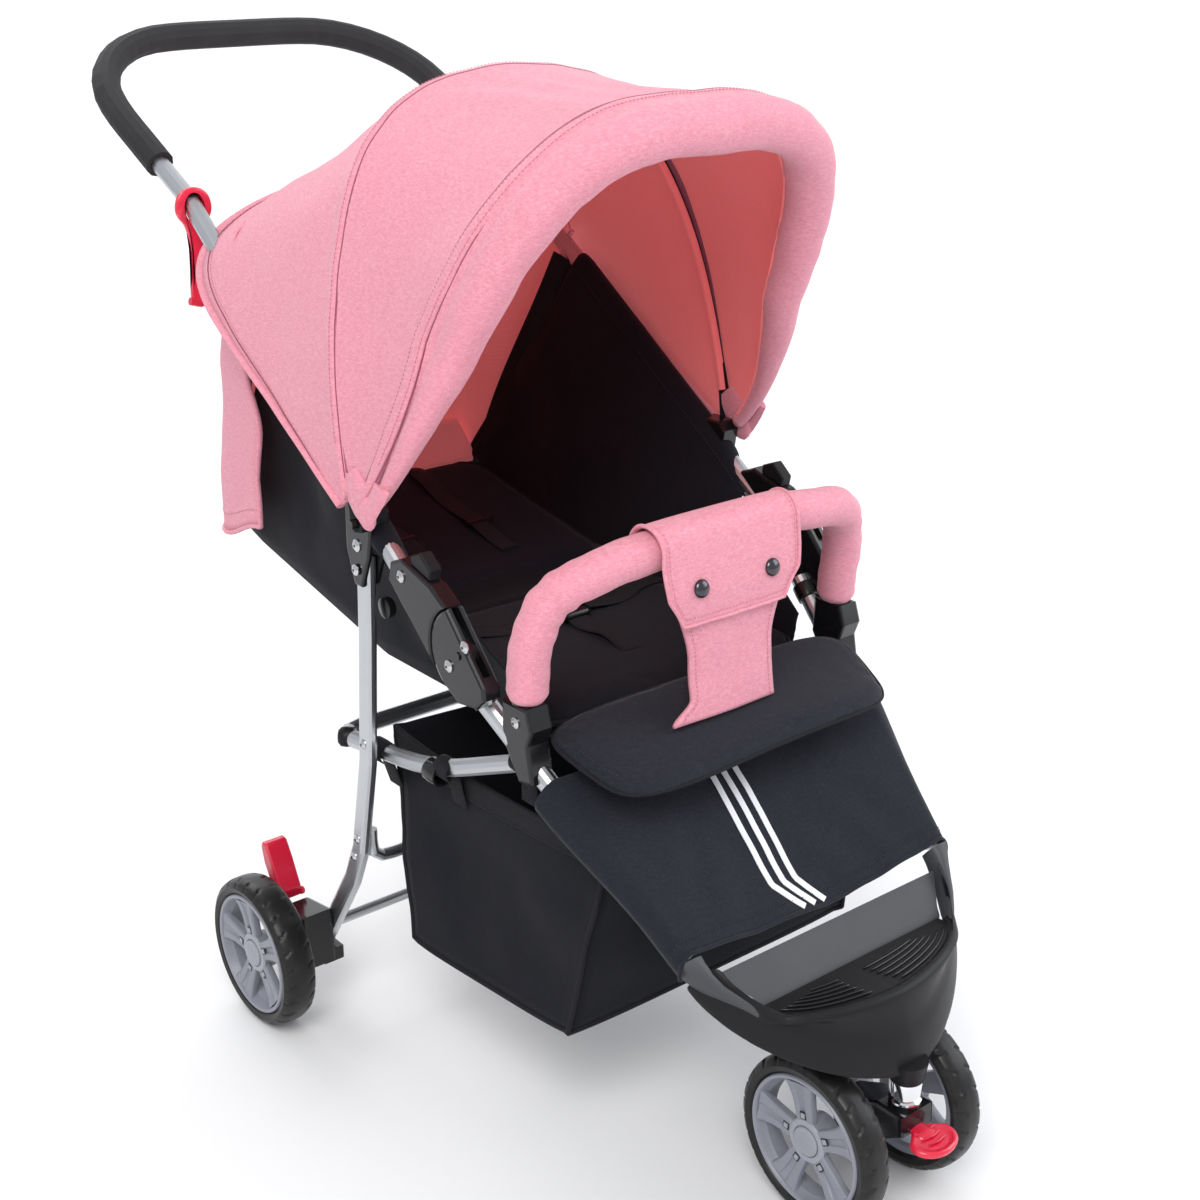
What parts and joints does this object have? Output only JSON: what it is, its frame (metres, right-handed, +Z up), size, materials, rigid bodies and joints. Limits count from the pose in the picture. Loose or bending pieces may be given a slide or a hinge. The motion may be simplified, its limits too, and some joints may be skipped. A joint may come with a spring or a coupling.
{
  "type": "baby stroller",
  "caption": "Folding three-wheel-stance baby stroller with a canopy, reclining seat, padded bumper bar, footrest and under-seat basket.",
  "frame": {"origin": "middle of the footprint on the ground", "axes": "+Z up, -Y the way the stroller faces, +X towards the child's left"},
  "size_m": [0.63, 1.1847, 1.0025],
  "materials": {
    "frame_tube": "satin silver",
    "chrome": "polished",
    "black_plastic": "semi-gloss moulded",
    "foam_grip": "closed-cell foam",
    "wheel_plastic": "satin moulded",
    "tyre": "matte tread",
    "red_plastic": "gloss moulded",
    "pink_fabric": "heathered weave",
    "grey_fabric": "plain weave",
    "black_fabric": "plain weave"
  },
  "bodies": {
    "front_frame": {"front_rail_left": "frame_tube", "front_rail_right": "frame_tube", "fold_housing_lower_left": "black_plastic", "fold_housing_lower_right": "black_plastic", "footrest": "black_plastic", "bumper_mount_left": "black_plastic", "bumper_mount_right": "black_plastic", "apron": "grey_fabric"},
    "caster": {"caster_fork": "black_plastic", "caster_stem": "chrome", "front_axle": "chrome"},
    "front_wheel_left": {"front_rim_left": "wheel_plastic", "front_tyre_left": "tyre"},
    "front_wheel_right": {"front_rim_right": "wheel_plastic", "front_tyre_right": "tyre"},
    "swivel_lock": {"swivel_lock": "red_plastic"},
    "push_frame": {"push_rail_left": "frame_tube", "push_rail_right": "frame_tube", "handle_tube": "frame_tube", "handle_grip": "foam_grip", "fold_housing_upper_left": "black_plastic", "fold_housing_upper_right": "black_plastic", "leg_bracket_left": "black_plastic", "leg_bracket_right": "black_plastic", "canopy_rear_panel": "pink_fabric", "rear_curtain": "pink_fabric", "seat_side_left": "black_fabric", "seat_side_right": "black_fabric"},
    "release_left": {"fold_release_left": "black_plastic"},
    "release_right": {"fold_release_right": "black_plastic"},
    "canopy_bow": {"canopy_middle_bow": "black_plastic"},
    "canopy_front": {"canopy_visor": "pink_fabric", "canopy_middle_panel": "pink_fabric"},
    "rear_legs": {"rear_leg_left": "frame_tube", "rear_leg_right": "frame_tube", "leg_cross_tube": "frame_tube", "rear_cross_rod": "frame_tube", "wheel_carrier_left": "black_plastic", "wheel_carrier_right": "black_plastic"},
    "rear_wheel_left": {"rear_rim_left": "wheel_plastic", "rear_tyre_left": "tyre"},
    "rear_wheel_right": {"rear_rim_right": "wheel_plastic", "rear_tyre_right": "tyre"},
    "brake_left": {"brake_pedal_left": "red_plastic"},
    "brake_right": {"brake_pedal_right": "red_plastic"},
    "seat_frame": {"seat_tube_left": "frame_tube", "seat_tube_right": "frame_tube", "seat_cross_tube": "frame_tube", "seat_pad": "black_fabric", "harness_buckle": "grey_fabric", "basket": "black_fabric"},
    "calf_rest": {"calf_flap": "black_fabric"},
    "backrest": {"backrest": "black_fabric", "harness_shoulder_left": "grey_fabric", "harness_shoulder_right": "grey_fabric"},
    "bumper": {"bumper_bar": "pink_fabric", "bumper_strap": "pink_fabric"},
    "fold_hook": {"fold_hook": "red_plastic"}
  },
  "joints": [
    {"name": "caster_swivel", "type": "hinge", "parent": "front_frame", "child": "caster", "pos_m": [0, -0.5394, 0.115], "axis": [0, 0, 1], "continuous": true},
    {"name": "front_wheel_spin_left", "type": "hinge", "parent": "caster", "child": "front_wheel_left", "pos_m": [0.062, -0.4884, 0.0825], "axis": [1, 0, 0], "continuous": true},
    {"name": "front_wheel_spin_right", "type": "hinge", "parent": "caster", "child": "front_wheel_right", "pos_m": [-0.062, -0.4884, 0.0825], "axis": [1, 0, 0], "continuous": true},
    {"name": "swivel_lock_tilt", "type": "hinge", "parent": "caster", "child": "swivel_lock", "pos_m": [0, -0.5574, 0.099], "axis": [1, 0, 0], "range_deg": [-14, 0]},
    {"name": "fold", "type": "hinge", "parent": "front_frame", "child": "push_frame", "pos_m": [0, -0.1844, 0.506], "axis": [1, 0, 0], "range_deg": [0, 84]},
    {"name": "release_slide_left", "type": "slide", "parent": "push_frame", "child": "release_left", "axis": [0, 0.96, 0.28], "range_m": [0, 0.006]},
    {"name": "release_slide_right", "type": "slide", "parent": "push_frame", "child": "release_right", "axis": [0, 0.96, 0.28], "range_m": [0, 0.006]},
    {"name": "canopy_fold", "type": "hinge", "parent": "push_frame", "child": "canopy_front", "pos_m": [0, -0.0334, 0.593], "axis": [1, 0, 0], "range_deg": [-34, 0], "deforming": ["canopy_middle_panel"]},
    {"name": "canopy_bow_fold", "type": "hinge", "parent": "push_frame", "child": "canopy_bow", "pos_m": [0, -0.0334, 0.593], "axis": [1, 0, 0], "range_deg": [-17, 0]},
    {"name": "leg_fold", "type": "hinge", "parent": "push_frame", "child": "rear_legs", "pos_m": [0, -0.0234, 0.543], "axis": [1, 0, 0], "range_deg": [-29.4, 0]},
    {"name": "rear_wheel_spin_left", "type": "hinge", "parent": "rear_legs", "child": "rear_wheel_left", "pos_m": [0.294, 0.1086, 0.0825], "axis": [1, 0, 0], "continuous": true},
    {"name": "rear_wheel_spin_right", "type": "hinge", "parent": "rear_legs", "child": "rear_wheel_right", "pos_m": [-0.294, 0.1086, 0.0825], "axis": [1, 0, 0], "continuous": true},
    {"name": "brake_left", "type": "hinge", "parent": "rear_legs", "child": "brake_left", "pos_m": [0.25, 0.1186, 0.126], "axis": [1, 0, 0], "range_deg": [-18, 0]},
    {"name": "brake_right", "type": "hinge", "parent": "rear_legs", "child": "brake_right", "pos_m": [-0.25, 0.1186, 0.126], "axis": [1, 0, 0], "range_deg": [-18, 0]},
    {"name": "seat_fold", "type": "hinge", "parent": "front_frame", "child": "seat_frame", "pos_m": [0, -0.2464, 0.408], "axis": [1, 0, 0], "range_deg": [0, 48.72]},
    {"name": "calf_swing", "type": "hinge", "parent": "seat_frame", "child": "calf_rest", "pos_m": [0, -0.2374, 0.441], "axis": [1, 0, 0], "range_deg": [-48.72, 0]},
    {"name": "recline", "type": "hinge", "parent": "push_frame", "child": "backrest", "pos_m": [0, 0.0606, 0.437], "axis": [1, 0, 0], "range_deg": [0, 50]},
    {"name": "bumper_lift", "type": "slide", "parent": "front_frame", "child": "bumper", "axis": [0, 0, 1], "range_m": [0, 0.04]},
    {"name": "hook_swing", "type": "hinge", "parent": "push_frame", "child": "fold_hook", "pos_m": [-0.205, 0.3146, 0.8385], "axis": [0, 0.8119, 0.5838], "range_deg": [-5, 35]}
  ],
  "couplings": [
    {"joint": "calf_swing", "follows": "fold", "ratio": -0.58},
    {"joint": "leg_fold", "follows": "fold", "ratio": -0.35},
    {"joint": "seat_fold", "follows": "fold", "ratio": 0.58},
    {"joint": "canopy_bow_fold", "follows": "canopy_fold", "ratio": 0.5}
  ]
}
